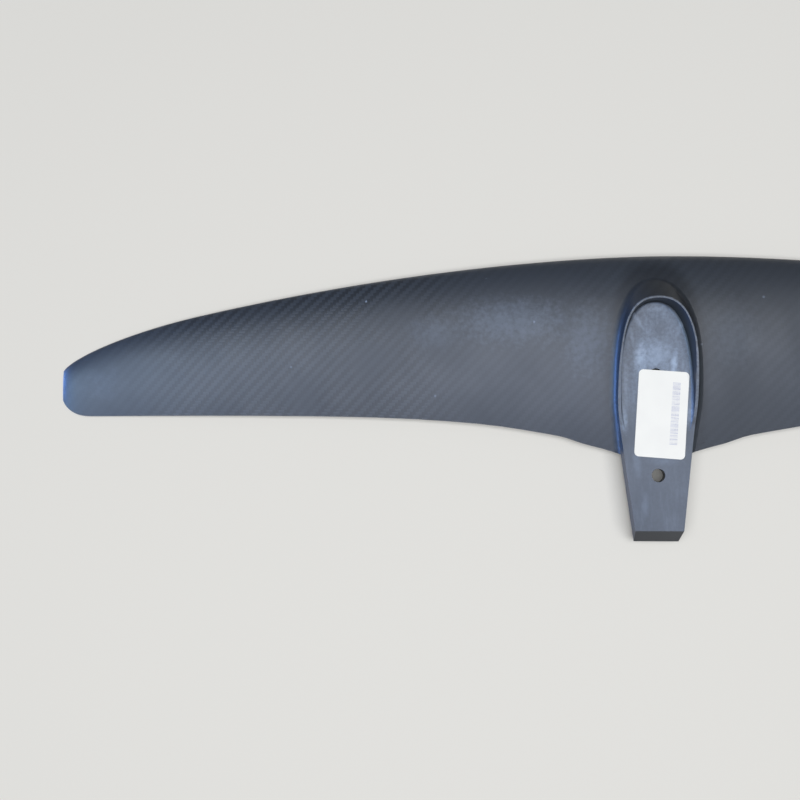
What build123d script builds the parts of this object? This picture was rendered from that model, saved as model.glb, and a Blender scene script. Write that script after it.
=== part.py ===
from build123d import *
import os
from math import exp, radians, sqrt, tan

# Front wing of a hydrofoil, moulded in carbon in one piece, with a paper label stuck on its seat.
# Millimetres. X runs along the span, +Y points forward, +Z points up.
# The origin lies on the fuselage seat, midway between its two bolt holes.

# Wing outline seen from above
SPAN = 850.0
NOSE_Y = 117.8              # leading edge at the root, ahead of the origin
TRAIL_Y = 9.2               # straight outer trailing edge, ahead of the origin
SWEEP = 60.6                # how far the leading edge runs back from root to tip
SWEEP_POWER = 1.8
NOSE_ROUND_SPAN = 105.0     # stretch of span over which the leading edge rounds into the tip
NOSE_ROUND_DEPTH = 17.0
TRAIL_ROUND_SPAN = 21.0     # the same for the trailing edge, a much smaller corner
TRAIL_ROUND_DEPTH = 16.5
FLARE_DEPTH = 44.0          # the trailing edge sweeps back by this much towards the tongue
FLARE_SPAN = 68.0           # and dies out over this length of span
FLARE_CENTRE = 16.0         # rounding of that sweep at the centre, hidden in the tongue

# Wing section
ROOT_THICKNESS = 22.0
TIP_THICKNESS_RATIO = 0.105     # of the local chord, outside the root
THICK_SPAN = 250.0              # span over which the root thickness fades into the tip ratio
CAMBER = 0.024                  # of the local chord
CAMBER_PLACE = 0.40
TRAIL_THICKNESS = 1.0
TIP_EDGE_SPAN = 10.0            # the tip's edge closes to a rounded rim over this length
ROOT_TRAIL_Z = -10.0            # trailing edge below the seat at the root
ROOT_NOSE_Z = -8.8              # leading edge below the seat at the root
TIP_DROOP = 7.2                 # how far the tips bend down
DROOP_POWER = 2.4

# Fuselage seat, pocket and tongue
SEAT_NOSE_Y = 85.3          # rim of the pocket at its front
SEAT_WIDE_Y = 24.0          # where the seat is widest
SEAT_STRAIGHT_Y = 3.0       # behind this the sides run straight
TAIL_Y = -71.0              # rear edge of the seat
SEAT_WIDTH = 51.6           # middle to middle of the rim where the seat is widest
SIDE_INSET = 1.0            # each side stands this much further in where it turns straight
TAIL_WIDTH = 32.1
RIM_HEIGHT = 12.0           # rim above the seat at the front of the pocket
RIM_LEVEL_Y = 58.5          # ahead of this the rim is level
RIM_END_Y = -4.0            # behind this the seat is a flat tongue
RIM_FALL = 0.35             # how long the falling rim stays level at both its ends
RIM_WIDTH = 1.0
RIM_FULLNESS = (0.72, 0.72)     # at the nose and at the sides: 0.55 is an ellipse, more is squarer
FLOOR_FULLNESS = (0.72, 0.55)
FOOT_FULLNESS = (0.72, 0.72)
FLOOR_INSET = 0.9           # foot of the pocket's wall inside its rim
FLOOR_BEVEL = 1.2           # corner between the pocket's floor and wall
NOSE_RAMP = 24.0            # the boss slopes forward this much more at its foot
SIDE_RAMP = 0.6
TONGUE_THICKNESS = 11.0
TAIL_SLOPE = 8.1            # the rear face runs back this far from top to bottom
BLEND_RADIUS = 6.0
BLEND_SHARE = 0.90          # the blend takes no more than this share of the boss's wall
BLEND_LEAST = 2.5
BLEND_STEP = 0.95           # where a radius won't close, the next one is this much smaller
TONGUE_ROOT_Y = 54.0        # the tongue's slab starts here, inside the wing

# Two M8 bolts from below
HOLE_DIA = 9.0
HOLE_SPACING = 68.0
SINK_DIA = 17.0
SINK_ANGLE = 90.0
SINK_DEPTH = 0.5            # the head sits this far inside the underside

# Label
LABEL_WIDTH = 33.5
LABEL_LENGTH = 59.2
LABEL_THICKNESS = 0.2
LABEL_CORNER = 3.0
LABEL_X = 3.2
LABEL_Y = 7.3
LABEL_TURN = -4.6

# Fineness of the wing's skin
STATIONS = 28
STATION_CROWDING = 1.2      # more than 1 draws the sections together at the root
SECTION_STEPS = 12
TINY = 1e-4
TIP_GAP = 0.8               # the last section stands this far inside the tip
CLEAR = 30.0                # how far cutting blocks reach past the part
TRIM = 2.0                  # the boss's blank stands this much proud before its rim is trimmed

HALF = SPAN / 2

# Thickness law of a common wing section: the root term, then the powers of the chord share
SHAPE_TERMS = (0.2969, -0.1260, -0.3516, 0.2843, -0.1036)
SHAPE_PEAK = 0.1            # greatest half thickness that these terms give


def tip_round(x, span):
    """Quarter-ellipse that grows from 0 to 1 over the last stretch of the span."""
    u = max(0.0, (abs(x) - (HALF - span)) / span)
    return 1 - sqrt(max(0.0, 1 - u * u))


def nose_y(x):
    """Leading edge, seen from above."""
    run_back = SWEEP * (abs(x) / HALF) ** SWEEP_POWER
    return NOSE_Y - run_back - NOSE_ROUND_DEPTH * tip_round(x, NOSE_ROUND_SPAN)


def trail_y(x):
    """Trailing edge, seen from above."""
    reach = sqrt(x * x + FLARE_CENTRE ** 2)
    flare = FLARE_DEPTH * exp(-reach / FLARE_SPAN)
    return TRAIL_Y - flare + TRAIL_ROUND_DEPTH * tip_round(x, TRAIL_ROUND_SPAN)


def droop(x):
    """Drop of the section at a place along the span."""
    return TIP_DROOP * (abs(x) / HALF) ** DROOP_POWER


def thickness(x):
    """Greatest thickness of the section at a place along the span."""
    chord = nose_y(x) - trail_y(x)
    outer = TIP_THICKNESS_RATIO * chord
    root_extra = ROOT_THICKNESS - TIP_THICKNESS_RATIO * (nose_y(0) - trail_y(0))
    fade = max(0.0, 1 - abs(x) / (HALF - TIP_EDGE_SPAN))
    return outer + root_extra * fade ** (HALF / THICK_SPAN)


def skin_z(x, u, side):
    """Height of the skin at the share u * u of the chord; side is 1 above and -1 below."""
    c = u * u
    chord = nose_y(x) - trail_y(x)
    nose_z = ROOT_NOSE_Z - droop(x) * (1 + (ROOT_NOSE_Z - ROOT_TRAIL_Z) / TIP_DROOP)
    trail_z = ROOT_TRAIL_Z - droop(x)
    depth = (thickness(x) - TRAIL_THICKNESS / 2) / 2
    shape = SHAPE_TERMS[0] * u + sum(term * c ** (i + 1) for i, term in enumerate(SHAPE_TERMS[1:]))
    half = depth * shape / SHAPE_PEAK + TRAIL_THICKNESS / 2 * c
    if c < CAMBER_PLACE:
        bow = CAMBER * chord / CAMBER_PLACE ** 2 * (2 * CAMBER_PLACE * c - c * c)
    else:
        rest = 1 - CAMBER_PLACE
        bow = CAMBER * chord / rest ** 2 * (1 - 2 * CAMBER_PLACE + 2 * CAMBER_PLACE * c - c * c)
    edge = 1 - tip_round(x, TIP_EDGE_SPAN)
    return nose_z + (trail_z - nose_z) * c + (bow + side * half) * edge


def skin_curve(x, side):
    """Upper or lower curve of one section, from the nose to the trailing edge."""
    front = nose_y(x)
    chord = front - trail_y(x)
    steps = [i / SECTION_STEPS for i in range(SECTION_STEPS + 1)]
    points = [Vector(x, front - chord * u * u, skin_z(x, u, side)) for u in steps]
    rise = (skin_z(x, TINY, side) - skin_z(x, 0, side)) / TINY
    fall = (skin_z(x, 1, side) - skin_z(x, 1 - TINY, side)) / TINY
    ends = [Vector(0, 0, rise), Vector(0, -2 * chord, fall)]
    return Edge.make_spline(points, tangents=ends, parameters=steps, scale=False)


def section(x):
    """Closed wing section: upper curve, straight trailing edge and lower curve."""
    upper, lower = skin_curve(x, 1), skin_curve(x, -1)
    return Wire([upper, Edge.make_line(upper @ 1, lower @ 1), lower])


def station(i):
    """Place of one section along the span, closer together at the root and towards the tip."""
    share = (abs(i) / STATIONS) ** STATION_CROWDING
    x = (HALF - TIP_GAP) * (1 - (1 - share) ** 2)
    return x if i > 0 else -x


def make_skin():
    """The bare wing from tip to tip."""
    sections = [section(station(i)) for i in range(-STATIONS, STATIONS + 1)]
    return Solid.make_loft(sections)


def seat_outline(nose, wide, tail, fullness, z, straight=None):
    """Plan of the seat at one height: a blunt nose, bowed sides and a straight taper to the tail."""
    side = wide / 2
    length = nose - SEAT_WIDE_Y
    if straight is None:
        straight = wide - 2 * SIDE_INSET
    taper = (straight - tail) / 2 / (SEAT_STRAIGHT_Y - TAIL_Y)
    tail_end = TAIL_Y - TAIL_SLOPE
    tail_half = tail / 2 - taper * TAIL_SLOPE
    with BuildSketch(Plane.XY.offset(z)) as plan:
        with BuildLine():
            Bezier((0, nose), (fullness[0] * side, nose), (side, SEAT_WIDE_Y + fullness[1] * length),
                   (side, SEAT_WIDE_Y))
            Spline((side, SEAT_WIDE_Y), (straight / 2, SEAT_STRAIGHT_Y),
                   tangents=((0, -1), (-taper, -1)))
            Line((straight / 2, SEAT_STRAIGHT_Y), (tail_half, tail_end))
            Line((tail_half, tail_end), (0, tail_end))
            mirror(about=Plane.YZ)
        make_face()
    return plan.sketch.faces()[0]


def make_boss():
    """Raised boss with the pocket's rim, before it joins the wing."""
    nose = SEAT_NOSE_Y + RIM_WIDTH / 2
    width = SEAT_WIDTH + RIM_WIDTH
    straight = width - 2 * SIDE_INSET
    foot_z = -TONGUE_THICKNESS / 2
    lean = TRIM / (RIM_HEIGHT - foot_z)
    upper = seat_outline(nose - NOSE_RAMP * lean, width - 2 * SIDE_RAMP * lean, TAIL_WIDTH,
                         RIM_FULLNESS, RIM_HEIGHT + TRIM, straight)
    lower = seat_outline(nose + NOSE_RAMP, width + 2 * SIDE_RAMP, TAIL_WIDTH, FOOT_FULLNESS, foot_z,
                         straight)
    slab = seat_outline(TONGUE_ROOT_Y, SEAT_WIDTH, TAIL_WIDTH, RIM_FULLNESS, -TONGUE_THICKNESS, straight)
    return loft([lower, upper], ruled=True) + extrude(slab, TONGUE_THICKNESS)


def rim_z(y):
    """Height of the rim above the seat, near enough for the blend."""
    share = (y - RIM_END_Y) / (RIM_LEVEL_Y - RIM_END_Y)
    return RIM_HEIGHT * min(1.0, max(0.0, share))


def rim_profile():
    """Side view of the boss, from the nose ramp over the falling rim to the sloped rear face."""
    front = SEAT_NOSE_Y + NOSE_RAMP + CLEAR
    with BuildSketch(Plane.YZ) as side:
        with BuildLine():
            Line((front, -TONGUE_THICKNESS), (front, RIM_HEIGHT))
            Line((front, RIM_HEIGHT), (RIM_LEVEL_Y, RIM_HEIGHT))
            Spline((RIM_LEVEL_Y, RIM_HEIGHT), (RIM_END_Y, 0), tangents=((-1, 0), (-1, 0)),
                   tangent_scalars=(RIM_FALL, RIM_FALL))
            Line((RIM_END_Y, 0), (TAIL_Y, 0))
            Line((TAIL_Y, 0), (TAIL_Y - TAIL_SLOPE, -TONGUE_THICKNESS))
            Line((TAIL_Y - TAIL_SLOPE, -TONGUE_THICKNESS), (front, -TONGUE_THICKNESS))
        make_face()
    return extrude(side.sketch, SEAT_WIDTH, both=True)


def make_pocket():
    """Space for the fuselage's nose, widening upwards from the seat."""
    width = SEAT_WIDTH - RIM_WIDTH
    floor = seat_outline(SEAT_NOSE_Y - FLOOR_INSET, width - 2 * FLOOR_INSET,
                         TAIL_WIDTH - 2 * FLOOR_INSET, FLOOR_FULLNESS, 0)
    rim = seat_outline(SEAT_NOSE_Y - RIM_WIDTH / 2, width, TAIL_WIDTH - RIM_WIDTH, RIM_FULLNESS,
                       RIM_HEIGHT)
    space = loft([floor, rim], ruled=True)
    return chamfer(space.faces().sort_by(Axis.Z)[0].edges(), FLOOR_BEVEL)


def underside_z(y):
    """Height of the underside on the centre line, under the wing or under the tongue."""
    chord = nose_y(0) - trail_y(0)
    share = (nose_y(0) - y) / chord
    if share < 1:
        return min(-TONGUE_THICKNESS, skin_z(0, sqrt(share), -1))
    return -TONGUE_THICKNESS


def bolt_hole(y):
    """Through hole for one bolt, countersunk into the underside."""
    mouth = underside_z(y) + SINK_DEPTH
    cone = (SINK_DIA - HOLE_DIA) / 2 / tan(radians(SINK_ANGLE / 2))
    rise = RIM_HEIGHT + CLEAR - mouth
    down = (Align.CENTER, Align.CENTER, Align.MAX)
    up = (Align.CENTER, Align.CENTER, Align.MIN)
    shaft = Cylinder(HOLE_DIA / 2, rise, align=up)
    sink = Cone(SINK_DIA / 2, HOLE_DIA / 2, cone, align=up)
    well = Cylinder(SINK_DIA / 2, CLEAR, align=down)
    return Pos(0, y, mouth) * (shaft + sink + well)


def blend_radius():
    """Radius between boss and wing, limited by the height of the boss's wall above the wing."""
    wall_x = SEAT_WIDTH / 2
    chord = nose_y(wall_x) - trail_y(wall_x)
    shares = [i / SECTION_STEPS for i in range(SECTION_STEPS + 1)]
    wall = min(rim_z(nose_y(wall_x) - chord * u * u) - skin_z(wall_x, u, 1) for u in shares)
    return min(BLEND_RADIUS, BLEND_SHARE * wall)


def blend(body, seams):
    """Rounds the seams between boss and wing, a little tighter where the full radius won't close."""
    radius = blend_radius()
    while radius > BLEND_LEAST:
        try:
            return body.fillet(radius, seams)
        except ValueError:
            radius *= BLEND_STEP
    return body


def make_wing():
    """Wing, boss and tongue in one piece, blended, with the pocket and both bolt holes."""
    skin = make_skin()
    boss = (make_boss() & rim_profile()).solids()[0]
    body = skin.fuse(boss)
    seams = new_edges(skin, boss, combined=body)
    upper_seams = [edge for edge in seams if edge.center().Z > ROOT_TRAIL_Z + TRAIL_THICKNESS]
    body = Part() + blend(body, upper_seams) - make_pocket()
    for y in (-HOLE_SPACING / 2, HOLE_SPACING / 2):
        body -= bolt_hole(y)
    return body.solids()[0]


def make_label():
    """Thin paper label, stuck on the seat a little askew over the front bolt hole."""
    with BuildPart() as label:
        with BuildSketch():
            RectangleRounded(LABEL_WIDTH, LABEL_LENGTH, LABEL_CORNER)
        extrude(amount=LABEL_THICKNESS)
    return Pos(LABEL_X, LABEL_Y, 0) * Rot(0, 0, LABEL_TURN) * label.part


if __name__ == "__main__":
    os.makedirs("parts", exist_ok=True)
    wing = make_wing()
    wing.label = "front_wing"
    export_step(wing, "parts/front_wing.step")
    label = make_label()
    label.label = "seat_label"
    export_step(label, "parts/seat_label.step")
    print("rests", -wing.bounding_box().min.Z, "mm below the seat; wing volume", wing.volume / 1000, "cm3")
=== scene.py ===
"""Looks of a hydrofoil front wing: a satin carbon moulding with a paper label on its seat.

Metres, in the frame of the CAD model: X runs along the span, +Y points forward and +Z up, and the
origin lies on the seat, midway between the two bolt holes.
"""
import logging
import math
from dataclasses import dataclass
from enum import Enum

import bpy
from mathutils import Matrix, Vector


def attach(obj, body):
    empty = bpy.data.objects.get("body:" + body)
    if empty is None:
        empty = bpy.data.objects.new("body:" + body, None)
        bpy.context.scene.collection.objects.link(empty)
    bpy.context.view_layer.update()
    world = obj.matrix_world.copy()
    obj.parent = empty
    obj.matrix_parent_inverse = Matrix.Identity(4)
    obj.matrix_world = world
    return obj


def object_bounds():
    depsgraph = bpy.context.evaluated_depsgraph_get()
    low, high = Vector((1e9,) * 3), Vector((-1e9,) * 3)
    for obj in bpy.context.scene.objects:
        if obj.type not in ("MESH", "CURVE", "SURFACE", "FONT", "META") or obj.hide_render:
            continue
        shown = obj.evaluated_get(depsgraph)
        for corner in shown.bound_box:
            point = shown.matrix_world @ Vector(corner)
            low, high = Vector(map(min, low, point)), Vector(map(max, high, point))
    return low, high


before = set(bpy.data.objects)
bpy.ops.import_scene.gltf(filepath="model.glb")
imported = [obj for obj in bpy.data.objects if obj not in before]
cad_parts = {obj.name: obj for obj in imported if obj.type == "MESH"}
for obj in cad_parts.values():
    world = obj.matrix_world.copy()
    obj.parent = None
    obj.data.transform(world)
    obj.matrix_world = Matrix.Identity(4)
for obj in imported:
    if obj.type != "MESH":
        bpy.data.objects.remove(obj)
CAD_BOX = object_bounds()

Colour = tuple[float, float, float]
Point = tuple[float, float, float]
Pair = tuple[float, float]
Socket = bpy.types.NodeSocket
Place = tuple[Socket, Socket, Socket]

MM_PER_METRE = 1000

log = logging.getLogger("scene")


class Piece(str, Enum):
    """Names of the pieces: the first two are CAD nodes, the last is printed on the label."""

    WING = "front_wing"
    LABEL = "seat_label"
    PRINT = "label_print"


class Slot(str, Enum):
    """A material slot name, which nothing in this script uses."""

    PAPER = "label_paper"


class Way(str, Enum):
    """Operations of a Math node that the finishes use."""

    ADD = "ADD"
    SUBTRACT = "SUBTRACT"
    MULTIPLY = "MULTIPLY"
    DIVIDE = "DIVIDE"
    FLOOR = "FLOOR"
    FRACTION = "FRACT"
    SINE = "SINE"
    CYCLE = "FLOORED_MODULO"
    BELOW = "LESS_THAN"
    SIZE = "ABSOLUTE"
    HIGH = "MAXIMUM"
    POWER = "POWER"
    ROOT = "SQRT"


class VectorWay(str, Enum):
    """Operations of a Vector Math node that the finishes use."""

    SUBTRACT = "SUBTRACT"
    DIVIDE = "DIVIDE"
    LENGTH = "LENGTH"


class Curve(str, Enum):
    """How a step runs from its start to its end."""

    SMOOTH = "SMOOTHSTEP"
    STRAIGHT = "LINEAR"


@dataclass(frozen=True)
class Step:
    """A step between two results: start gives low and end gives high."""

    start: float
    end: float
    low: float = 0.0
    high: float = 1.0


@dataclass(frozen=True)
class Cloud:
    """A noise pattern and the step it goes through. Its scale counts cells for each metre."""

    scale: float
    detail: float
    roughness: float
    step: Step


@dataclass(frozen=True)
class Graph:
    """A node tree with short calls for the nodes that the finishes need."""

    tree: bpy.types.NodeTree

    def node(self, kind: str, **settings: object) -> bpy.types.Node:
        """Adds a node.

        Args:
            kind: Blender's type name of the node.
            **settings: Properties to set on it.

        Returns:
            The new node.
        """
        made = self.tree.nodes.new(kind)
        for name, value in settings.items():
            setattr(made, name, value)
        return made

    def feed(self, socket: Socket, value: object) -> None:
        """Links a socket to the input, or sets the input to a plain value.

        Args:
            socket: Input to feed.
            value: Output socket, number, colour or vector.
        """
        if isinstance(value, bpy.types.NodeSocket):
            self.tree.links.new(value, socket)
        else:
            socket.default_value = value

    def group(self, tree: bpy.types.NodeTree, inputs: dict[str, object]) -> dict[str, Socket]:
        """Adds a node group.

        Args:
            tree: The group.
            inputs: Plain values or sockets for its inputs, by name.

        Returns:
            Its outputs, by name.
        """
        made = self.node("ShaderNodeGroup", node_tree=tree)
        for name, value in inputs.items():
            self.feed(made.inputs[name], value)
        return dict(made.outputs.items())

    def math(self, way: Way, first: object, second: object = 0.0) -> Socket:
        """Adds a Math node.

        Args:
            way: Operation.
            first: First value or socket.
            second: Second value or socket, ignored by operations of one value.

        Returns:
            The result.
        """
        made = self.node("ShaderNodeMath", operation=way.value)
        self.feed(made.inputs[0], first)
        self.feed(made.inputs[1], second)
        return made.outputs[0]

    def vector(self, way: VectorWay, first: object, second: object = (0.0, 0.0, 0.0)) -> Socket:
        """Adds a Vector Math node.

        Args:
            way: Operation.
            first: First vector or socket.
            second: Second vector or socket, ignored by operations of one vector.

        Returns:
            The result: a number for a length, otherwise a vector.
        """
        made = self.node("ShaderNodeVectorMath", operation=way.value)
        self.feed(made.inputs[0], first)
        self.feed(made.inputs[1], second)
        return made.outputs["Value" if way is VectorWay.LENGTH else "Vector"]

    def split(self, vector: object) -> Place:
        """Splits a vector.

        Args:
            vector: Vector or socket.

        Returns:
            Its X, Y and Z.
        """
        made = self.node("ShaderNodeSeparateXYZ")
        self.feed(made.inputs[0], vector)
        return made.outputs["X"], made.outputs["Y"], made.outputs["Z"]

    def join(self, x: object = 0.0, y: object = 0.0, z: object = 0.0) -> Socket:
        """Joins three numbers into a vector.

        Args:
            x: Number or socket along X.
            y: Number or socket along Y.
            z: Number or socket along Z.

        Returns:
            The vector.
        """
        made = self.node("ShaderNodeCombineXYZ")
        for socket, value in zip(made.inputs, (x, y, z)):
            self.feed(socket, value)
        return made.outputs[0]

    def both(self, *masks: object) -> Socket:
        """Multiplies masks.

        Args:
            *masks: Numbers or sockets.

        Returns:
            Their product.
        """
        product = masks[0]
        for mask in masks[1:]:
            product = self.math(Way.MULTIPLY, product, mask)
        return product

    def blend(self, share: object, low: object, high: object) -> Socket:
        """Blends two numbers.

        Args:
            share: 0 gives the first, 1 gives the second.
            low: First number or socket.
            high: Second number or socket.

        Returns:
            The blended number.
        """
        made = self.node("ShaderNodeMix", data_type="FLOAT")
        self.feed(made.inputs[0], share)
        self.feed(made.inputs[2], low)
        self.feed(made.inputs[3], high)
        return made.outputs[0]

    def tint(self, share: object, low: object, high: object) -> Socket:
        """Blends two colours.

        Args:
            share: 0 gives the first, 1 gives the second.
            low: First colour or socket.
            high: Second colour or socket.

        Returns:
            The blended colour.
        """
        made = self.node("ShaderNodeMix", data_type="RGBA")
        self.feed(made.inputs[0], share)
        for socket, value in ((made.inputs[6], low), (made.inputs[7], high)):
            self.feed(socket, value if isinstance(value, bpy.types.NodeSocket) else (*value, 1.0))
        return made.outputs[2]

    def ramp(self, value: object, step: Step, curve: Curve = Curve.SMOOTH) -> Socket:
        """Maps a number through a step.

        Args:
            value: Number to map.
            step: The step.
            curve: How the step runs.

        Returns:
            The mapped number.
        """
        made = self.node("ShaderNodeMapRange", interpolation_type=curve.value)
        ends = {"Value": value, "From Min": step.start, "From Max": step.end,
                "To Min": step.low, "To Max": step.high}
        for name, number in ends.items():
            self.feed(made.inputs[name], number)
        return made.outputs["Result"]

    def noise(
            self, vector: object, scale: object = 1.0, detail: float = 2.0, roughness: float = 0.5,
    ) -> Socket:
        """Adds a noise texture.

        Args:
            vector: Where it is read.
            scale: Size, as cells for each unit of the vector.
            detail: Number of finer layers.
            roughness: Strength of the finer layers.

        Returns:
            The noise, from 0 to 1.
        """
        made = self.node("ShaderNodeTexNoise")
        self.feed(made.inputs["Vector"], vector)
        self.feed(made.inputs["Scale"], scale)
        self.feed(made.inputs["Detail"], detail)
        self.feed(made.inputs["Roughness"], roughness)
        return made.outputs["Fac"]

    def cloud(self, vector: object, cloud: Cloud) -> Socket:
        """Adds a noise pattern that goes through a step.

        Args:
            vector: Where it is read.
            cloud: The pattern.

        Returns:
            The mapped noise.
        """
        return self.ramp(self.noise(vector, cloud.scale, cloud.detail, cloud.roughness), cloud.step)

    def stretch(self, vector: object, scale: Point) -> Socket:
        """Scales a pattern's coordinates.

        Args:
            vector: Coordinates.
            scale: Factors along X, Y and Z.

        Returns:
            The new coordinates.
        """
        made = self.node("ShaderNodeMapping")
        self.feed(made.inputs["Vector"], vector)
        self.feed(made.inputs["Scale"], scale)
        return made.outputs["Vector"]

    def bump(self, height: Socket, strength: float, depth: float) -> Socket:
        """Turns a height into a bent normal.

        Args:
            height: Height, where 1 stands for the full depth.
            strength: How far the normal follows, from 0 to 1.
            depth: Depth of the relief in metres.

        Returns:
            The normal.
        """
        made = self.node("ShaderNodeBump")
        self.feed(made.inputs["Height"], height)
        self.feed(made.inputs["Strength"], strength)
        self.feed(made.inputs["Distance"], depth)
        return made.outputs["Normal"]


def shader_group(
        name: str, inputs: dict[str, object], outputs: list[str],
) -> tuple[Graph, dict[str, Socket], dict[str, Socket]]:
    """Makes an empty shader node group.

    Args:
        name: Name of the group.
        inputs: Input names with their starting values; None stands for a vector.
        outputs: Names of the outputs, all plain numbers.

    Returns:
        The group's graph, its input sockets and its output sockets, by name.
    """
    tree = bpy.data.node_groups.new(name, "ShaderNodeTree")
    for label, start in inputs.items():
        kind = "NodeSocketVector" if start is None else "NodeSocketFloat"
        made = tree.interface.new_socket(name=label, in_out="INPUT", socket_type=kind)
        if start is not None:
            made.default_value = start
    for label in outputs:
        tree.interface.new_socket(name=label, in_out="OUTPUT", socket_type="NodeSocketFloat")
    graph = Graph(tree)
    entry = graph.node("NodeGroupInput")
    result = graph.node("NodeGroupOutput")
    given = {label: entry.outputs[label] for label in inputs}
    asked = {label: result.inputs[label] for label in outputs}
    return graph, given, asked


@dataclass(frozen=True)
class TwillWeave:
    """Two-by-two twill of flat carbon tows, with its ribs running forward and outward."""

    name: str = "Twill weave"
    usual_tow: float = 0.002
    float_length: int = 2

    def build(self) -> bpy.types.NodeTree:
        """Builds the group.

        Returns:
            A group that puts out which tow lies on top and the height of the cloth.
        """
        inputs = {"Vector": None, "Tow": self.usual_tow}
        graph, given, asked = shader_group(self.name, inputs, ["Over", "Height"])
        x, y, _ = graph.split(given["Vector"])
        across = graph.math(Way.DIVIDE, x, given["Tow"])
        along = graph.math(Way.DIVIDE, y, given["Tow"])
        shift = graph.math(Way.SUBTRACT, graph.math(Way.FLOOR, across), graph.math(Way.FLOOR, along))
        cycle = graph.math(Way.CYCLE, shift, 2.0 * self.float_length)
        # The cycle counts whole tows, so a limit half a tow lower parts them safely
        over = graph.math(Way.BELOW, cycle, self.float_length - 0.5)
        rise_x = graph.math(Way.SINE, graph.math(Way.MULTIPLY, graph.math(Way.FRACTION, across), math.pi))
        rise_y = graph.math(Way.SINE, graph.math(Way.MULTIPLY, graph.math(Way.FRACTION, along), math.pi))
        graph.feed(asked["Over"], over)
        graph.feed(asked["Height"], graph.blend(over, rise_y, rise_x))
        return graph.tree


@dataclass(frozen=True)
class HandledSurface:
    """Faint smudges and fine specks of a thing that has been handled and has lain about."""

    name: str = "Handled surface"
    usual_smudge: float = 0.05
    usual_speck: float = 0.003
    usual_share: float = 0.1
    smudge_detail: float = 4.0
    smudge_roughness: float = 0.55
    smudge_edge: Step = Step(0.35, 0.68)
    speck_edge: Step = Step(0.22, 0.08)

    def build(self) -> bpy.types.NodeTree:
        """Builds the group.

        Returns:
            A group that puts out broad smudges and small specks, each from 0 to 1.
        """
        inputs = {"Vector": None, "Smudge size": self.usual_smudge, "Speck size": self.usual_speck,
                  "Speck share": self.usual_share}
        graph, given, asked = shader_group(self.name, inputs, ["Smudge", "Speck"])
        broad = graph.noise(given["Vector"], graph.math(Way.DIVIDE, 1.0, given["Smudge size"]),
                            self.smudge_detail, self.smudge_roughness)
        graph.feed(asked["Smudge"], graph.ramp(broad, self.smudge_edge))
        cells = graph.node("ShaderNodeTexVoronoi", feature="F1")
        graph.feed(cells.inputs["Vector"], given["Vector"])
        graph.feed(cells.inputs["Scale"], graph.math(Way.DIVIDE, 1.0, given["Speck size"]))
        chance = graph.node("ShaderNodeSeparateColor")
        graph.feed(chance.inputs[0], cells.outputs["Color"])
        chosen = graph.math(Way.BELOW, chance.outputs[0], given["Speck share"])
        graph.feed(asked["Speck"], graph.both(chosen, graph.ramp(cells.outputs["Distance"], self.speck_edge)))
        return graph.tree


@dataclass(frozen=True)
class Handling:
    """How coarsely a finish is smudged and specked: two sizes in metres and a share of cells."""

    smudge_size: float
    speck_size: float = HandledSurface.usual_speck
    speck_share: float = HandledSurface.usual_share

    def on(self, graph: Graph, handled: bpy.types.NodeTree, coords: Socket) -> tuple[Socket, Socket]:
        """Lays the marks of handling over a material.

        Args:
            graph: Graph of the material.
            handled: The group that makes the marks.
            coords: The object's coordinates.

        Returns:
            The smudges and the specks.
        """
        marks = graph.group(handled, {"Vector": coords, "Smudge size": self.smudge_size,
                                      "Speck size": self.speck_size, "Speck share": self.speck_share})
        return marks["Smudge"], marks["Speck"]


@dataclass(frozen=True)
class SoftMark:
    """One mark on a surface: an oval seen from above, with a ragged, fading rim."""

    name: str = "Soft mark"
    usual_ragged: float = 0.6
    usual_grain: float = 0.004
    grain_detail: float = 3.0
    grain_roughness: float = 0.6
    fade: Step = Step(1.0, 0.05)

    def build(self) -> bpy.types.NodeTree:
        """Builds the group.

        Returns:
            A group that puts out the mark, from 0 to 1.
        """
        inputs = {"Vector": None, "Centre": None, "Reach": None, "Turn": 0.0, "Ragged": self.usual_ragged,
                  "Grain size": self.usual_grain}
        graph, given, asked = shader_group(self.name, inputs, ["Mark"])
        from_centre = graph.vector(VectorWay.SUBTRACT, given["Vector"], given["Centre"])
        turned = graph.node("ShaderNodeVectorRotate", rotation_type="Z_AXIS")
        graph.feed(turned.inputs["Vector"], from_centre)
        graph.feed(turned.inputs["Angle"], given["Turn"])
        share = graph.vector(VectorWay.DIVIDE, turned.outputs[0], given["Reach"])
        distance = graph.vector(VectorWay.LENGTH, share)
        grain = graph.noise(given["Vector"], graph.math(Way.DIVIDE, 1.0, given["Grain size"]),
                            self.grain_detail, self.grain_roughness)
        # Noise lies round a half, so the rim wavers as far out as in
        waver = graph.math(Way.MULTIPLY, graph.math(Way.SUBTRACT, grain, 0.5), given["Ragged"])
        graph.feed(asked["Mark"], graph.ramp(graph.math(Way.ADD, distance, waver), self.fade))
        return graph.tree


def new_material(name: str) -> tuple[bpy.types.Material, Graph, bpy.types.Node]:
    """Makes an empty material with one Principled shader.

    Args:
        name: Name of the material.

    Returns:
        The material, its graph and its shader node.
    """
    material = bpy.data.materials.new(name)
    material.use_nodes = True
    material.node_tree.nodes.clear()
    graph = Graph(material.node_tree)
    surface = graph.node("ShaderNodeBsdfPrincipled")
    output = graph.node("ShaderNodeOutputMaterial")
    graph.feed(output.inputs["Surface"], surface.outputs["BSDF"])
    return material, graph, surface


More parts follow.
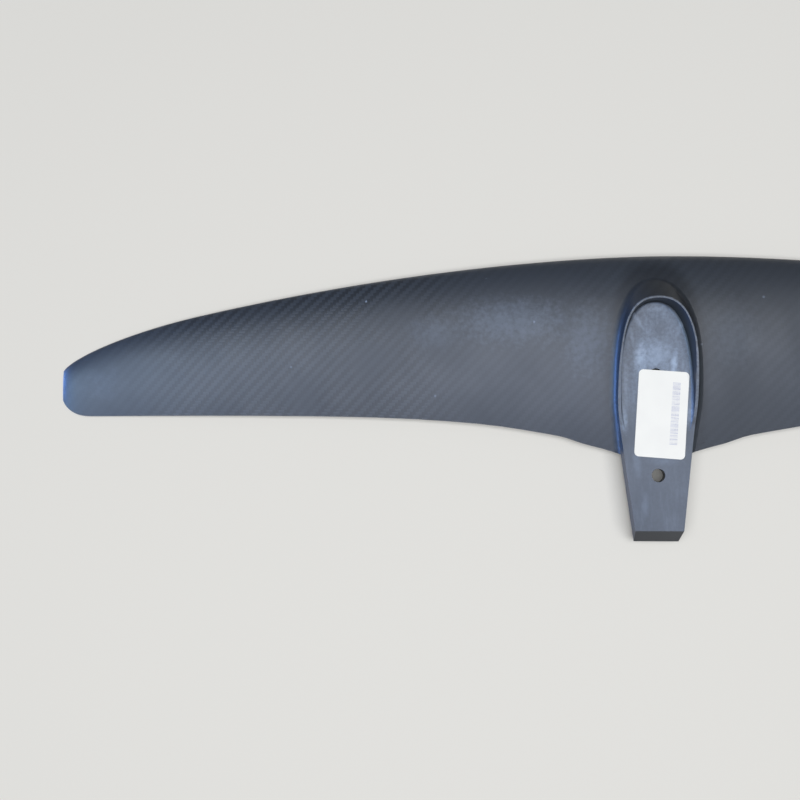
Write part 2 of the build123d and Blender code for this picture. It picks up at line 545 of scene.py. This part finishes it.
@dataclass(frozen=True)
class Mark:
    """One mark on the moulding. Millimetres from the origin, seen from above; the turn in degrees."""

    x: float
    y: float
    half_length: float
    half_width: float
    strength: float
    turn: float = 0.0
    ragged: float = 0.6
    grain: float = 3.0

    def shown(self, graph: Graph, tree: bpy.types.NodeTree, coords: Socket) -> Socket:
        """Lays the mark over a material.

        Args:
            graph: Graph of the material.
            tree: The group that makes a mark.
            coords: The object's coordinates.

        Returns:
            The mark, from 0 to its strength.
        """
        made = graph.group(tree, {
            "Vector": coords,
            "Centre": (self.x / MM_PER_METRE, self.y / MM_PER_METRE, 0.0),
            "Reach": (self.half_width / MM_PER_METRE, self.half_length / MM_PER_METRE, 1.0),
            "Turn": math.radians(self.turn),
            "Ragged": self.ragged,
            "Grain size": self.grain / MM_PER_METRE,
        })
        return graph.math(Way.MULTIPLY, made["Mark"], self.strength)


@dataclass(frozen=True)
class MouldingZones:
    """Masks of the moulding's parts, read from the object's coordinates in metres."""

    seat_level: Step = Step(0.0009, 0.0002)
    seat_side: Step = Step(0.0259, 0.0255)
    seat_front: Step = Step(0.085, 0.084)
    rim_line: Step = Step(-0.0003, 0.0548, 0.0, 0.012)
    rim_band: Step = Step(0.00045, 0.000225)
    rim_side: Step = Step(0.029, 0.0285)
    rim_raised: Step = Step(0.0006, 0.0018)
    boss_side: float = 0.0335
    boss_wide_y: float = 0.024
    boss_length: float = 0.0875
    boss_fullness: float = 2.5
    boss_edge: Step = Step(1.2, 0.8)
    boss_back: Step = Step(-0.02, 0.03)
    end_face: Step = Step(-0.0708, -0.0714)
    hole_y: float = 0.034
    hole_wall: Step = Step(0.0048, 0.0046)
    hole_mouth: Step = Step(-0.0001, -0.0005)
    cloth_inner: Step = Step(0.11, 0.20, 0.30, 1.0)
    cloth_outer: Step = Step(0.39, 0.30, 0.3, 1.0)

    def seat(self, graph: Graph, place: Place) -> Socket:
        """Masks the seat: the pocket's floor and the tongue's top.

        Args:
            graph: Graph of the material.
            place: The object's coordinates.

        Returns:
            1 on the seat and 0 elsewhere.
        """
        x, y, z = place
        level = graph.ramp(graph.math(Way.SIZE, z), self.seat_level)
        narrow = graph.ramp(graph.math(Way.SIZE, x), self.seat_side)
        return graph.both(level, narrow, graph.ramp(y, self.seat_front))

    def rim(self, graph: Graph, place: Place) -> Socket:
        """Masks the pocket's rim, level at the front and falling to the tongue, where a highlight is painted.

        Args:
            graph: Graph of the material.
            place: The object's coordinates.

        Returns:
            1 on the rim and 0 elsewhere.
        """
        x, y, z = place
        line = graph.ramp(y, self.rim_line, Curve.STRAIGHT)
        near = graph.ramp(graph.math(Way.SIZE, graph.math(Way.SUBTRACT, z, line)), self.rim_band)
        narrow = graph.ramp(graph.math(Way.SIZE, x), self.rim_side)
        return graph.both(near, narrow, graph.ramp(z, self.rim_raised))

    def boss(self, graph: Graph, place: Place) -> Socket:
        """Masks the boss's ramp and sides and the tongue's end face, where shade is painted by dimming their
        colour below the wing's.

        Args:
            graph: Graph of the material.
            place: The object's coordinates.

        Returns:
            1 within the boss's outline, fading along the tongue, 1 on the end face and 0 elsewhere.
        """
        x, y, _ = place
        aside = graph.math(Way.DIVIDE, graph.math(Way.SIZE, x), self.boss_side)
        ahead = graph.math(Way.HIGH, graph.math(Way.SUBTRACT, y, self.boss_wide_y), 0.0)
        ahead = graph.math(Way.DIVIDE, ahead, self.boss_length)
        reach = graph.math(Way.ADD, graph.math(Way.POWER, aside, self.boss_fullness),
                           graph.math(Way.POWER, ahead, self.boss_fullness))
        raised = graph.both(graph.ramp(reach, self.boss_edge), graph.ramp(y, self.boss_back))
        return graph.math(Way.HIGH, raised, graph.ramp(y, self.end_face))

    def holes(self, graph: Graph, place: Place) -> Socket:
        """Masks the walls of the bolt holes, which are painted near black as shade.

        Args:
            graph: Graph of the material.
            place: The object's coordinates.

        Returns:
            1 inside the holes and 0 elsewhere.
        """
        x, y, z = place
        offset = graph.math(Way.SUBTRACT, graph.math(Way.SIZE, y), self.hole_y)
        square = graph.math(Way.ADD, graph.math(Way.MULTIPLY, x, x), graph.math(Way.MULTIPLY, offset, offset))
        inside = graph.ramp(graph.math(Way.ROOT, square), self.hole_wall)
        return graph.math(Way.MULTIPLY, inside, graph.ramp(z, self.hole_mouth))

    def cloth(self, graph: Graph, place: Place) -> Socket:
        """Masks the stretch of each half wing where the cloth shows most.

        Args:
            graph: Graph of the material.
            place: The object's coordinates.

        Returns:
            1 in the middle of each half, and less towards the boss and the tip.
        """
        aside = graph.math(Way.SIZE, place[0])
        return graph.both(graph.ramp(aside, self.cloth_inner), graph.ramp(aside, self.cloth_outer))


@dataclass(frozen=True)
class Spot:
    """What the moulding's material knows of the place that it shades."""

    coords: Socket
    place: Place
    upper: Socket
    seat: Socket
    bare: Socket
    deep: Socket
    smudge: Socket
    speck: Socket
    cloth: dict[str, Socket]
    cloth_shown: Socket
    streaks: Socket


@dataclass(frozen=True)
class CarbonFinish:
    """Satin laminate: near black, with the cloth just showing through a thin matt coat."""

    weave: bpy.types.NodeTree
    handled: bpy.types.NodeTree
    mark: bpy.types.NodeTree
    zones: MouldingZones = MouldingZones()
    base: Colour = (0.025, 0.028, 0.032)
    tongue: Colour = (0.040, 0.048, 0.060)
    pocket: Colour = (0.092, 0.108, 0.134)
    # Pale tint of the specks and the paler seat marks, and painted sheen on the upper wing
    dust_and_sheen: Colour = (0.34, 0.39, 0.46)
    # Painted highlight: the light line along the pocket's rim
    rim_highlight: Colour = (0.115, 0.125, 0.14)
    # Near black for the dark marks, and painted shade on the bolt holes' walls
    dark_spot_and_shade: Colour = (0.006, 0.005, 0.005)
    tow: float = 0.0021
    tow_tones: Pair = (1.12, 0.62)
    drape_size: float = 0.06
    drape_detail: float = 1.0
    drape_shift: float = 0.0035
    patches: Cloud = Cloud(14.0, 3.0, 0.6, Step(0.34, 0.56, 0.42, 1.20))
    upper_side: Step = Step(0.2, 0.5)
    level_side: Step = Step(0.55, 0.85)
    pocket_start: Step = Step(-0.010, 0.030)
    mottle: Cloud = Cloud(420.0, 4.0, 0.65, Step(0.3, 0.7, 0.80, 1.24))
    mottle_shares: Pair = (0.4, 1.0)
    smudge_tones: Pair = (0.92, 1.12)
    # Painted shade: the share of the base colour left on the boss and the tongue's end face
    painted_boss_shade: float = 0.55
    streak_stretch: Point = (230.0, 40.0, 30.0)
    streak_detail: float = 4.0
    streak_roughness: float = 0.65
    streak_edge: Step = Step(0.46, 0.80)
    streak_shares: Pair = (0.10, 0.24)
    broken: Cloud = Cloud(300.0, 3.0, 0.6, Step(0.2, 0.6, 0.35, 1.0))
    rim_highlight_break: Cloud = Cloud(500.0, 3.0, 0.6, Step(0.25, 0.75, 0.35, 0.95))
    handling: Handling = Handling(0.07, 0.006, 0.008)
    speck_strength: float = 0.2
    roughness: Pair = (0.46, 0.39)
    pale_roughness: float = 0.25
    specular: float = 0.56
    fine_scale: float = 900.0
    fine_height: float = 0.35
    scratch_height: float = 0.8
    relief_strength: float = 0.25
    relief_depth: float = 0.00012
    pale: tuple[Mark, ...] = (
        Mark(0.0, 47.0, 15.0, 17.0, 0.56, ragged=1.1, grain=5.0),
        Mark(-9.6, 46.0, 17.0, 7.0, 0.86, turn=2.0, ragged=0.9),
        Mark(4.0, 47.0, 11.0, 3.4, 0.45, turn=24.0, ragged=0.9),
        Mark(12.2, 41.0, 15.0, 3.4, 0.95, turn=6.0, ragged=0.8),
        Mark(-24.6, 24.0, 40.0, 1.8, 0.30, ragged=0.8),
        Mark(-11.5, 71.5, 9.0, 2.8, 0.45, turn=-34.0, ragged=1.0),
        Mark(-15.6, 61.0, 12.0, 2.2, 0.30, turn=-10.0, ragged=1.0),
        Mark(-1.0, 79.0, 2.2, 12.0, 0.28, ragged=1.0),
        Mark(16.5, 66.0, 10.0, 2.4, 0.25, turn=24.0, ragged=1.0),
        Mark(-20.4, 30.0, 22.0, 2.6, 0.34, turn=1.0, ragged=1.0),
        Mark(-22.0, 5.0, 14.0, 3.4, 0.46, turn=-5.0, ragged=1.0),
        Mark(21.4, 8.0, 14.0, 3.0, 0.42, turn=6.0, ragged=1.0),
        Mark(20.4, 32.0, 14.0, 2.0, 0.38, ragged=1.0),
        Mark(-9.4, -53.7, 12.0, 4.0, 0.16, turn=4.0),
        Mark(-14.0, -26.0, 16.0, 4.0, 0.16, turn=-6.0),
        Mark(4.0, -24.5, 4.0, 16.0, 0.14),
        # Broad faint marks on the upper wing: painted sheen, lighter patches where the top catches the light
        Mark(-96.0, 72.0, 22.0, 56.0, 0.13, ragged=1.3, grain=3.5),
        Mark(-150.0, 66.0, 16.0, 26.0, 0.07, ragged=1.3, grain=3.5),
        Mark(-46.0, 58.0, 34.0, 22.0, 0.10, ragged=1.3, grain=3.5),
        Mark(52.0, 60.0, 30.0, 22.0, 0.05, ragged=1.3, grain=3.5),
        Mark(-81.6, 71.2, 1.5, 1.2, 0.45, ragged=0.9, grain=0.9),
        Mark(-198.2, 88.3, 1.4, 1.0, 0.50, ragged=0.9, grain=0.9),
        # Painted sheen: a faint lighter patch near the tip
        Mark(-391.3, 31.7, 16.0, 20.0, 0.05, ragged=1.4, grain=7.0),
    )
    dark: tuple[Mark, ...] = (
        Mark(32.4, -12.2, 1.0, 1.9, 0.55, turn=-20.0, grain=1.2),
        Mark(3.0, 66.0, 10.0, 7.0, 0.30, ragged=1.2, grain=5.0),
    )

    def draped(self, graph: Graph, coords: Socket) -> Socket:
        """Bends the cloth's straight lines a little, as it settled in the mould.

        Args:
            graph: Graph of the material.
            coords: The object's coordinates.

        Returns:
            The bent coordinates.
        """
        drift = graph.node("ShaderNodeTexNoise")
        graph.feed(drift.inputs["Vector"], coords)
        graph.feed(drift.inputs["Scale"], 1 / self.drape_size)
        graph.feed(drift.inputs["Detail"], self.drape_detail)
        bent = graph.node("ShaderNodeVectorMath", operation="MULTIPLY_ADD")
        graph.feed(bent.inputs[0], drift.outputs["Color"])
        graph.feed(bent.inputs[1], (self.drape_shift, self.drape_shift, 0.0))
        graph.feed(bent.inputs[2], coords)
        return bent.outputs["Vector"]

    def marked(self, graph: Graph, spot: Spot, marks: tuple[Mark, ...]) -> Socket:
        """Lays a list of marks over the upper side.

        Args:
            graph: Graph of the material.
            spot: The place that is shaded.
            marks: The marks.

        Returns:
            The strongest mark at each place.
        """
        strongest = marks[0].shown(graph, self.mark, spot.coords)
        for mark in marks[1:]:
            strongest = graph.math(Way.HIGH, strongest, mark.shown(graph, self.mark, spot.coords))
        return graph.math(Way.MULTIPLY, strongest, spot.upper)

    def spot(self, graph: Graph) -> Spot:
        """Reads the place that is shaded.

        Args:
            graph: Graph of the material.

        Returns:
            Its coordinates, masks and patterns.
        """
        here = graph.node("ShaderNodeTexCoord")
        coords = here.outputs["Object"]
        place = graph.split(coords)
        _, _, facing = graph.split(here.outputs["Normal"])
        seat = self.zones.seat(graph, place)
        bare = graph.math(Way.SUBTRACT, 1.0, seat)
        level = graph.ramp(graph.math(Way.SIZE, facing), self.level_side)
        shown = graph.both(graph.cloud(coords, self.patches), self.zones.cloth(graph, place), bare, level)
        stretched = graph.stretch(coords, self.streak_stretch)
        smudge, speck = self.handling.on(graph, self.handled, coords)
        return Spot(
            coords=coords,
            place=place,
            upper=graph.ramp(facing, self.upper_side),
            seat=seat,
            bare=bare,
            deep=graph.ramp(place[1], self.pocket_start),
            smudge=smudge,
            speck=speck,
            cloth=graph.group(self.weave, {"Vector": self.draped(graph, coords), "Tow": self.tow}),
            cloth_shown=shown,
            streaks=graph.noise(stretched, detail=self.streak_detail, roughness=self.streak_roughness),
        )

    def ground(self, graph: Graph, spot: Spot) -> Socket:
        """Colours the laminate: the cloth, the pocket and the tongue, with painted shade that dims the boss
        and the end face.

        Args:
            graph: Graph of the material.
            spot: The place that is shaded.

        Returns:
            The colour.
        """
        tow = graph.blend(graph.both(spot.cloth["Over"], spot.cloth_shown), *self.tow_tones)
        cloudy = graph.blend(spot.smudge, *self.smudge_tones)
        mottled = graph.both(spot.seat, graph.blend(spot.deep, *self.mottle_shares))
        grain = graph.blend(mottled, 1.0, graph.cloud(spot.coords, self.mottle))
        # Painted shade on the boss's ramp and sides and on the tongue's end face
        boss_shade_mask = graph.both(self.zones.boss(graph, spot.place), spot.bare)
        boss = graph.blend(boss_shade_mask, 1.0, self.painted_boss_shade)
        seat = graph.tint(spot.deep, self.tongue, self.pocket)
        toned = graph.node("ShaderNodeVectorMath", operation="SCALE")
        graph.feed(toned.inputs[0], graph.tint(spot.seat, self.base, seat))
        graph.feed(toned.inputs["Scale"], graph.both(tow, cloudy, grain, boss))
        return toned.outputs["Vector"]

    def pale_marks_and_sheen(self, graph: Graph, spot: Spot) -> Socket:
        """Finds where the surface is paler: streaks on the seat and the listed marks, of which the broad ones
        on the upper wing are painted sheen.

        Args:
            graph: Graph of the material.
            spot: The place that is shaded.

        Returns:
            How pale it is, from 0 to 1.
        """
        share = graph.blend(spot.deep, *self.streak_shares)
        seat_streaks = graph.both(graph.ramp(spot.streaks, self.streak_edge), spot.seat, share)
        # The listed marks; the broad ones on the upper wing are painted sheen
        marks_and_sheen = graph.both(self.marked(graph, spot, self.pale), graph.cloud(spot.coords, self.broken))
        return graph.math(Way.HIGH, seat_streaks, marks_and_sheen)

    def colour(self, graph: Graph, spot: Spot, pale: Socket) -> Socket:
        """Colours the surface: the laminate, its paler streaks and marks with painted sheen among them, the
        painted highlight along the rim, dark marks, and painted shade in the holes.

        Args:
            graph: Graph of the material.
            spot: The place that is shaded.
            pale: How pale the streaks, marks and painted sheen have made it.

        Returns:
            The colour.
        """
        specks = graph.both(spot.speck, self.speck_strength, spot.bare)
        # Specks, paler marks and painted sheen laid over the laminate
        pale_laid_with_sheen = graph.tint(graph.math(Way.HIGH, pale, specks), self.ground(graph, spot), self.dust_and_sheen)
        # Painted highlight along the rim, broken up by noise
        edge = graph.both(self.zones.rim(graph, spot.place), graph.cloud(spot.coords, self.rim_highlight_break))
        edged = graph.tint(edge, pale_laid_with_sheen, self.rim_highlight)
        spotted = graph.tint(self.marked(graph, spot, self.dark), edged, self.dark_spot_and_shade)
        # Painted shade: the bolt holes' walls are coloured near black
        return graph.tint(self.zones.holes(graph, spot.place), spotted, self.dark_spot_and_shade)

    def relief(self, graph: Graph, spot: Spot) -> Socket:
        """Raises the cloth, the coat's fine grain and the seat's scratches.

        Args:
            graph: Graph of the material.
            spot: The place that is shaded.

        Returns:
            The bent normal.
        """
        cloth = graph.math(Way.MULTIPLY, spot.cloth["Height"], spot.cloth_shown)
        fine = graph.math(Way.MULTIPLY, graph.noise(spot.coords, self.fine_scale), self.fine_height)
        scratched = graph.both(spot.streaks, spot.seat, self.scratch_height)
        height = graph.math(Way.ADD, graph.math(Way.ADD, cloth, fine), scratched)
        return graph.bump(height, self.relief_strength, self.relief_depth)

    def material(self) -> bpy.types.Material:
        """Builds the material.

        Returns:
            The finished material.
        """
        made, graph, surface = new_material("carbon_satin")
        spot = self.spot(graph)
        pale = self.pale_marks_and_sheen(graph, spot)
        rough = graph.blend(spot.smudge, *self.roughness)
        rougher = graph.math(Way.MULTIPLY, pale, self.pale_roughness)
        graph.feed(surface.inputs["Base Color"], self.colour(graph, spot, pale))
        graph.feed(surface.inputs["Roughness"], graph.math(Way.ADD, rough, rougher))
        graph.feed(surface.inputs["Specular IOR Level"], self.specular)
        graph.feed(surface.inputs["Normal"], self.relief(graph, spot))
        return made


@dataclass(frozen=True)
class PaperFinish:
    """White coated label paper."""

    handled: bpy.types.NodeTree
    colour: Colour = (0.93, 0.92, 0.89)
    faded: Colour = (0.90, 0.89, 0.87)
    faded_share: float = 0.5
    roughness: Pair = (0.5, 0.6)
    handling: Handling = Handling(0.02, 0.004, 0.02)
    fibre_scale: float = 1500.0
    fibre_strength: float = 0.1
    fibre_depth: float = 0.00005

    def material(self) -> bpy.types.Material:
        """Builds the material.

        Returns:
            The finished material.
        """
        made, graph, surface = new_material("label_paper")
        coords = graph.node("ShaderNodeTexCoord").outputs["Object"]
        smudge, _ = self.handling.on(graph, self.handled, coords)
        fading = graph.math(Way.MULTIPLY, smudge, self.faded_share)
        fibre = graph.bump(graph.noise(coords, self.fibre_scale), self.fibre_strength, self.fibre_depth)
        graph.feed(surface.inputs["Base Color"], graph.tint(fading, self.colour, self.faded))
        graph.feed(surface.inputs["Roughness"], graph.blend(smudge, *self.roughness))
        graph.feed(surface.inputs["Normal"], fibre)
        return made


@dataclass(frozen=True)
class PrintFinish:
    """Faded bars printed on the label."""

    handled: bpy.types.NodeTree
    ink: Colour = (0.46, 0.47, 0.60)
    faded: Colour = (0.70, 0.71, 0.79)
    thin: Cloud = Cloud(900.0, 3.0, 0.6, Step(0.3, 0.7))
    roughness: Pair = (0.45, 0.6)
    handling: Handling = Handling(0.006)

    def material(self) -> bpy.types.Material:
        """Builds the material.

        Returns:
            The finished material.
        """
        made, graph, surface = new_material("label_print")
        coords = graph.node("ShaderNodeTexCoord").outputs["Object"]
        smudge, _ = self.handling.on(graph, self.handled, coords)
        fade = graph.math(Way.HIGH, smudge, graph.cloud(coords, self.thin))
        graph.feed(surface.inputs["Base Color"], graph.tint(fade, self.ink, self.faded))
        graph.feed(surface.inputs["Roughness"], graph.blend(fade, *self.roughness))
        return made


@dataclass(frozen=True)
class FloorFinish:
    """Plain pale studio floor, which the camera sees run out into the same pale tone far off."""

    colour: Colour = (0.80, 0.77, 0.72)
    far_tone: Colour = (0.735, 0.735, 0.715)
    far: Step = Step(0.45, 0.95)
    roughness: float = 0.9
    specular: float = 0.1

    def material(self) -> bpy.types.Material:
        """Builds the material.

        Returns:
            The finished material.
        """
        made, graph, surface = new_material("studio_floor")
        graph.feed(surface.inputs["Base Color"], (*self.colour, 1.0))
        graph.feed(surface.inputs["Roughness"], self.roughness)
        graph.feed(surface.inputs["Specular IOR Level"], self.specular)
        coords = graph.node("ShaderNodeTexCoord").outputs["Object"]
        far = graph.ramp(graph.vector(VectorWay.LENGTH, coords), self.far)
        seen = graph.node("ShaderNodeLightPath").outputs["Is Camera Ray"]
        glow = graph.node("ShaderNodeEmission")
        graph.feed(glow.inputs["Color"], (*self.far_tone, 1.0))
        mixed = graph.node("ShaderNodeMixShader")
        graph.feed(mixed.inputs[0], graph.math(Way.MULTIPLY, far, seen))
        graph.feed(mixed.inputs[1], surface.outputs["BSDF"])
        graph.feed(mixed.inputs[2], glow.outputs["Emission"])
        output = made.node_tree.nodes["Material Output"]
        graph.feed(output.inputs["Surface"], mixed.outputs["Shader"])
        return made


def dress(piece: bpy.types.Object, material: bpy.types.Material) -> None:
    """Gives a piece one material.

    Args:
        piece: The piece.
        material: Its material.
    """
    if not piece.data.materials:
        piece.data.materials.append(material)
    for slot in piece.material_slots:
        slot.material = material


@dataclass(frozen=True)
class WingMoulding:
    """The wing with its boss and tongue: one carbon moulding."""

    finish: CarbonFinish

    def build(self) -> bpy.types.Object:
        """Dresses the moulding.

        Returns:
            The dressed piece.
        """
        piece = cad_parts[Piece.WING.value]
        dress(piece, self.finish.material())
        return piece


@dataclass(frozen=True)
class SeatLabel:
    """The paper label on the seat."""

    paper: PaperFinish

    def build(self) -> bpy.types.Object:
        """Dresses the label.

        Returns:
            The dressed piece.
        """
        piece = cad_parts[Piece.LABEL.value]
        dress(piece, self.paper.material())
        return piece


@dataclass(frozen=True)
class LabelPrint:
    """A strip of plain bars of uneven width, printed on the label."""

    ink: PrintFinish
    centre: Point = (0.0120, 0.0080, 0.0002)
    length: float = 0.0425
    width: float = 0.0052
    thickness: float = 0.00002
    pitch: float = 0.00085
    thinnest: float = 0.18
    thickest: float = 0.80
    turn: float = math.radians(-4.9)
    seed: int = 7

    def tree(self, material: bpy.types.Material) -> bpy.types.NodeTree:
        """Builds the node tree that lays the bars in a row.

        Args:
            material: Material of the bars.

        Returns:
            The tree.
        """
        tree = bpy.data.node_groups.new("Row of bars", "GeometryNodeTree")
        for label in ("Length", "Width", "Thickness", "Pitch", "Thinnest", "Thickest"):
            tree.interface.new_socket(name=label, in_out="INPUT", socket_type="NodeSocketFloat")
        tree.interface.new_socket(name="Seed", in_out="INPUT", socket_type="NodeSocketInt")
        tree.interface.new_socket(name="Geometry", in_out="OUTPUT", socket_type="NodeSocketGeometry")
        graph = Graph(tree)
        given = graph.node("NodeGroupInput").outputs
        count = graph.math(Way.FLOOR, graph.math(Way.DIVIDE, given["Length"], given["Pitch"]))
        half_back = graph.math(Way.MULTIPLY, given["Length"], -0.5)
        row = graph.node("GeometryNodeMeshLine", mode="OFFSET")
        graph.feed(row.inputs["Count"], count)
        graph.feed(row.inputs["Start Location"], graph.join(y=half_back))
        graph.feed(row.inputs["Offset"], graph.join(y=given["Pitch"]))
        bar = graph.node("GeometryNodeMeshCube")
        graph.feed(bar.inputs["Size"], graph.join(given["Width"], given["Pitch"], given["Thickness"]))
        share = graph.node("FunctionNodeRandomValue", data_type="FLOAT")
        numbers = [socket for socket in share.inputs if socket.enabled]
        graph.feed(numbers[0], given["Thinnest"])
        graph.feed(numbers[1], given["Thickest"])
        graph.feed(share.inputs["Seed"], given["Seed"])
        width = next(socket for socket in share.outputs if socket.enabled)
        laid = graph.node("GeometryNodeInstanceOnPoints")
        graph.feed(laid.inputs["Points"], row.outputs["Mesh"])
        graph.feed(laid.inputs["Instance"], bar.outputs["Mesh"])
        graph.feed(laid.inputs["Scale"], graph.join(1.0, width, 1.0))
        real = graph.node("GeometryNodeRealizeInstances")
        graph.feed(real.inputs["Geometry"], laid.outputs["Instances"])
        dressed = graph.node("GeometryNodeSetMaterial")
        graph.feed(dressed.inputs["Geometry"], real.outputs["Geometry"])
        dressed.inputs["Material"].default_value = material
        graph.feed(graph.node("NodeGroupOutput").inputs["Geometry"], dressed.outputs["Geometry"])
        return tree

    def build(self) -> bpy.types.Object:
        """Builds the bars as one plain mesh on the label.

        Returns:
            The bars.
        """
        material = self.ink.material()
        tree = self.tree(material)
        source = bpy.data.objects.new("bars_source", bpy.data.meshes.new("bars_source"))
        bpy.context.scene.collection.objects.link(source)
        modifier = source.modifiers.new("bars", "NODES")
        modifier.node_group = tree
        sizes = {"Length": self.length, "Width": self.width, "Thickness": self.thickness, "Pitch": self.pitch,
                 "Thinnest": self.thinnest, "Thickest": self.thickest, "Seed": self.seed}
        for socket in tree.interface.items_tree:
            if socket.in_out == "INPUT":
                modifier[socket.identifier] = sizes[socket.name]
        ready = source.evaluated_get(bpy.context.evaluated_depsgraph_get())
        mesh = bpy.data.meshes.new_from_object(ready)
        bpy.data.objects.remove(source)
        lift = Matrix.Translation(Vector(self.centre) + Vector((0.0, 0.0, self.thickness / 2)))
        mesh.transform(lift @ Matrix.Rotation(self.turn, 4, "Z"))
        mesh.name = Piece.PRINT.value
        bars = bpy.data.objects.new(Piece.PRINT.value, mesh)
        bpy.context.scene.collection.objects.link(bars)
        dress(bars, material)
        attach(bars, "root")
        return bars


@dataclass(frozen=True)
class Lamp:
    """A rectangular soft lamp, aimed at a point. Sizes in metres, power in watts."""

    name: str
    place: Point
    aim: Point
    size: Pair
    power: float
    colour: Colour = (1.0, 1.0, 1.0)
    lights_floor: bool = True

    def build(self, moulding: bpy.types.Collection) -> bpy.types.Object:
        """Makes the lamp.

        Args:
            moulding: Holds the moulding, which alone is lit by a lamp that leaves out the floor.

        Returns:
            The lamp.
        """
        data = bpy.data.lights.new(self.name, "AREA")
        data.shape = "RECTANGLE"
        data.size, data.size_y = self.size
        data.energy = self.power
        data.color = self.colour
        lamp = bpy.data.objects.new(self.name, data)
        lamp.location = self.place
        lamp.rotation_euler = (Vector(self.aim) - Vector(self.place)).to_track_quat("-Z", "Y").to_euler()
        bpy.context.scene.collection.objects.link(lamp)
        if not self.lights_floor:
            lamp.light_linking.receiver_collection = moulding
        return lamp


@dataclass(frozen=True)
class Studio:
    """Floor, surroundings and lamps."""

    floor: FloorFinish
    floor_size: float = 12.0
    floor_gap: float = 0.0003
    surround: Colour = (0.86, 0.90, 0.98)
    surround_strength: float = 0.12
    lamps: tuple[Lamp, ...] = (
        Lamp("overhead", (-0.10, -0.20, 2.2), (-0.10, -0.20, 0.0), (3.2, 1.75), 62.0, (0.94, 0.97, 1.0)),
        Lamp("sky", (-0.10, -0.45, 2.2), (-0.10, -0.10, 0.0), (3.2, 1.2), 10.0, (0.06, 0.28, 1.0), False),
        Lamp("upper_left", (-2.0, -0.1, 1.7), (-0.35, 0.0, 0.0), (1.0, 1.2), 28.0, (0.44, 0.68, 1.0), False),
        Lamp("low_left", (-2.6, -0.15, 0.26), (-0.1, 0.0, 0.0), (1.7, 0.34), 86.0, (0.15, 0.36, 1.0), False),
        Lamp("low_right", (1.7, -0.3, 0.7), (0.0, 0.0, 0.0), (0.9, 0.6), 1.8, (0.62, 0.80, 1.0), False),
    )

    def surroundings(self) -> None:
        """Makes the world: a dim, even light, which the camera sees as pale as the floor."""
        world = bpy.data.worlds.new("studio")
        world.use_nodes = True
        graph = Graph(world.node_tree)
        dim = world.node_tree.nodes["Background"]
        graph.feed(dim.inputs["Color"], (*self.surround, 1.0))
        graph.feed(dim.inputs["Strength"], self.surround_strength)
        pale = graph.node("ShaderNodeBackground")
        graph.feed(pale.inputs["Color"], (*self.floor.far_tone, 1.0))
        mixed = graph.node("ShaderNodeMixShader")
        graph.feed(mixed.inputs[0], graph.node("ShaderNodeLightPath").outputs["Is Camera Ray"])
        graph.feed(mixed.inputs[1], dim.outputs["Background"])
        graph.feed(mixed.inputs[2], pale.outputs["Background"])
        graph.feed(world.node_tree.nodes["World Output"].inputs["Surface"], mixed.outputs["Shader"])
        bpy.context.scene.world = world

    def build(self, moulding: bpy.types.Object) -> None:
        """Makes the floor, the world and the lamps.

        Args:
            moulding: The carbon moulding, which the tinted lamps light alone.
        """
        bpy.ops.mesh.primitive_plane_add(size=self.floor_size)
        ground = bpy.context.object
        ground.name = "studio_floor"
        ground.location.z = CAD_BOX[0][2] - self.floor_gap
        ground.data.materials.append(self.floor.material())
        self.surroundings()
        lit = bpy.data.collections.new("moulding_only")
        lit.objects.link(moulding)
        for lamp in self.lamps:
            lamp.build(lit)
        bpy.context.scene.view_settings.view_transform = "Standard"


@dataclass(frozen=True)
class Viewpoint:
    """The camera: above the wing's inner half, looking almost straight down."""

    place: Point = (-0.13749, -0.01795, 0.53633)
    aim: Point = (-0.17424, 0.01819, 0.0)
    roll: float = math.radians(0.154)
    lens: float = 35.0
    sensor: float = 36.0
    nearest: float = 0.01

    def build(self) -> bpy.types.Object:
        """Makes the camera and gives it to the scene.

        Returns:
            The camera.
        """
        data = bpy.data.cameras.new("camera")
        data.lens, data.sensor_width = self.lens, self.sensor
        data.sensor_fit = "HORIZONTAL"
        data.clip_start = self.nearest
        camera = bpy.data.objects.new("camera", data)
        forward = (Vector(self.aim) - Vector(self.place)).normalized()
        up = (Vector((0, 1, 0)) - forward * forward.y).normalized()
        up = Matrix.Rotation(self.roll, 3, forward) @ up
        right = forward.cross(up)
        turn = Matrix((right, up, -forward)).transposed().to_4x4()
        camera.matrix_world = Matrix.Translation(self.place) @ turn
        bpy.context.scene.collection.objects.link(camera)
        bpy.context.scene.camera = camera
        return camera


def main() -> None:
    """Builds the camera, the studio and each piece."""
    logging.basicConfig(level=logging.INFO)
    Viewpoint().build()
    handled = HandledSurface().build()
    sources = (
        WingMoulding(CarbonFinish(TwillWeave().build(), handled, SoftMark().build())),
        SeatLabel(PaperFinish(handled)),
        LabelPrint(PrintFinish(handled)),
    )
    pieces = [source.build() for source in sources]
    for piece in pieces:
        log.info("%s: %d faces", piece.name, len(piece.data.polygons))
    Studio(FloorFinish()).build(pieces[0])


if __name__ == "__main__":
    main()
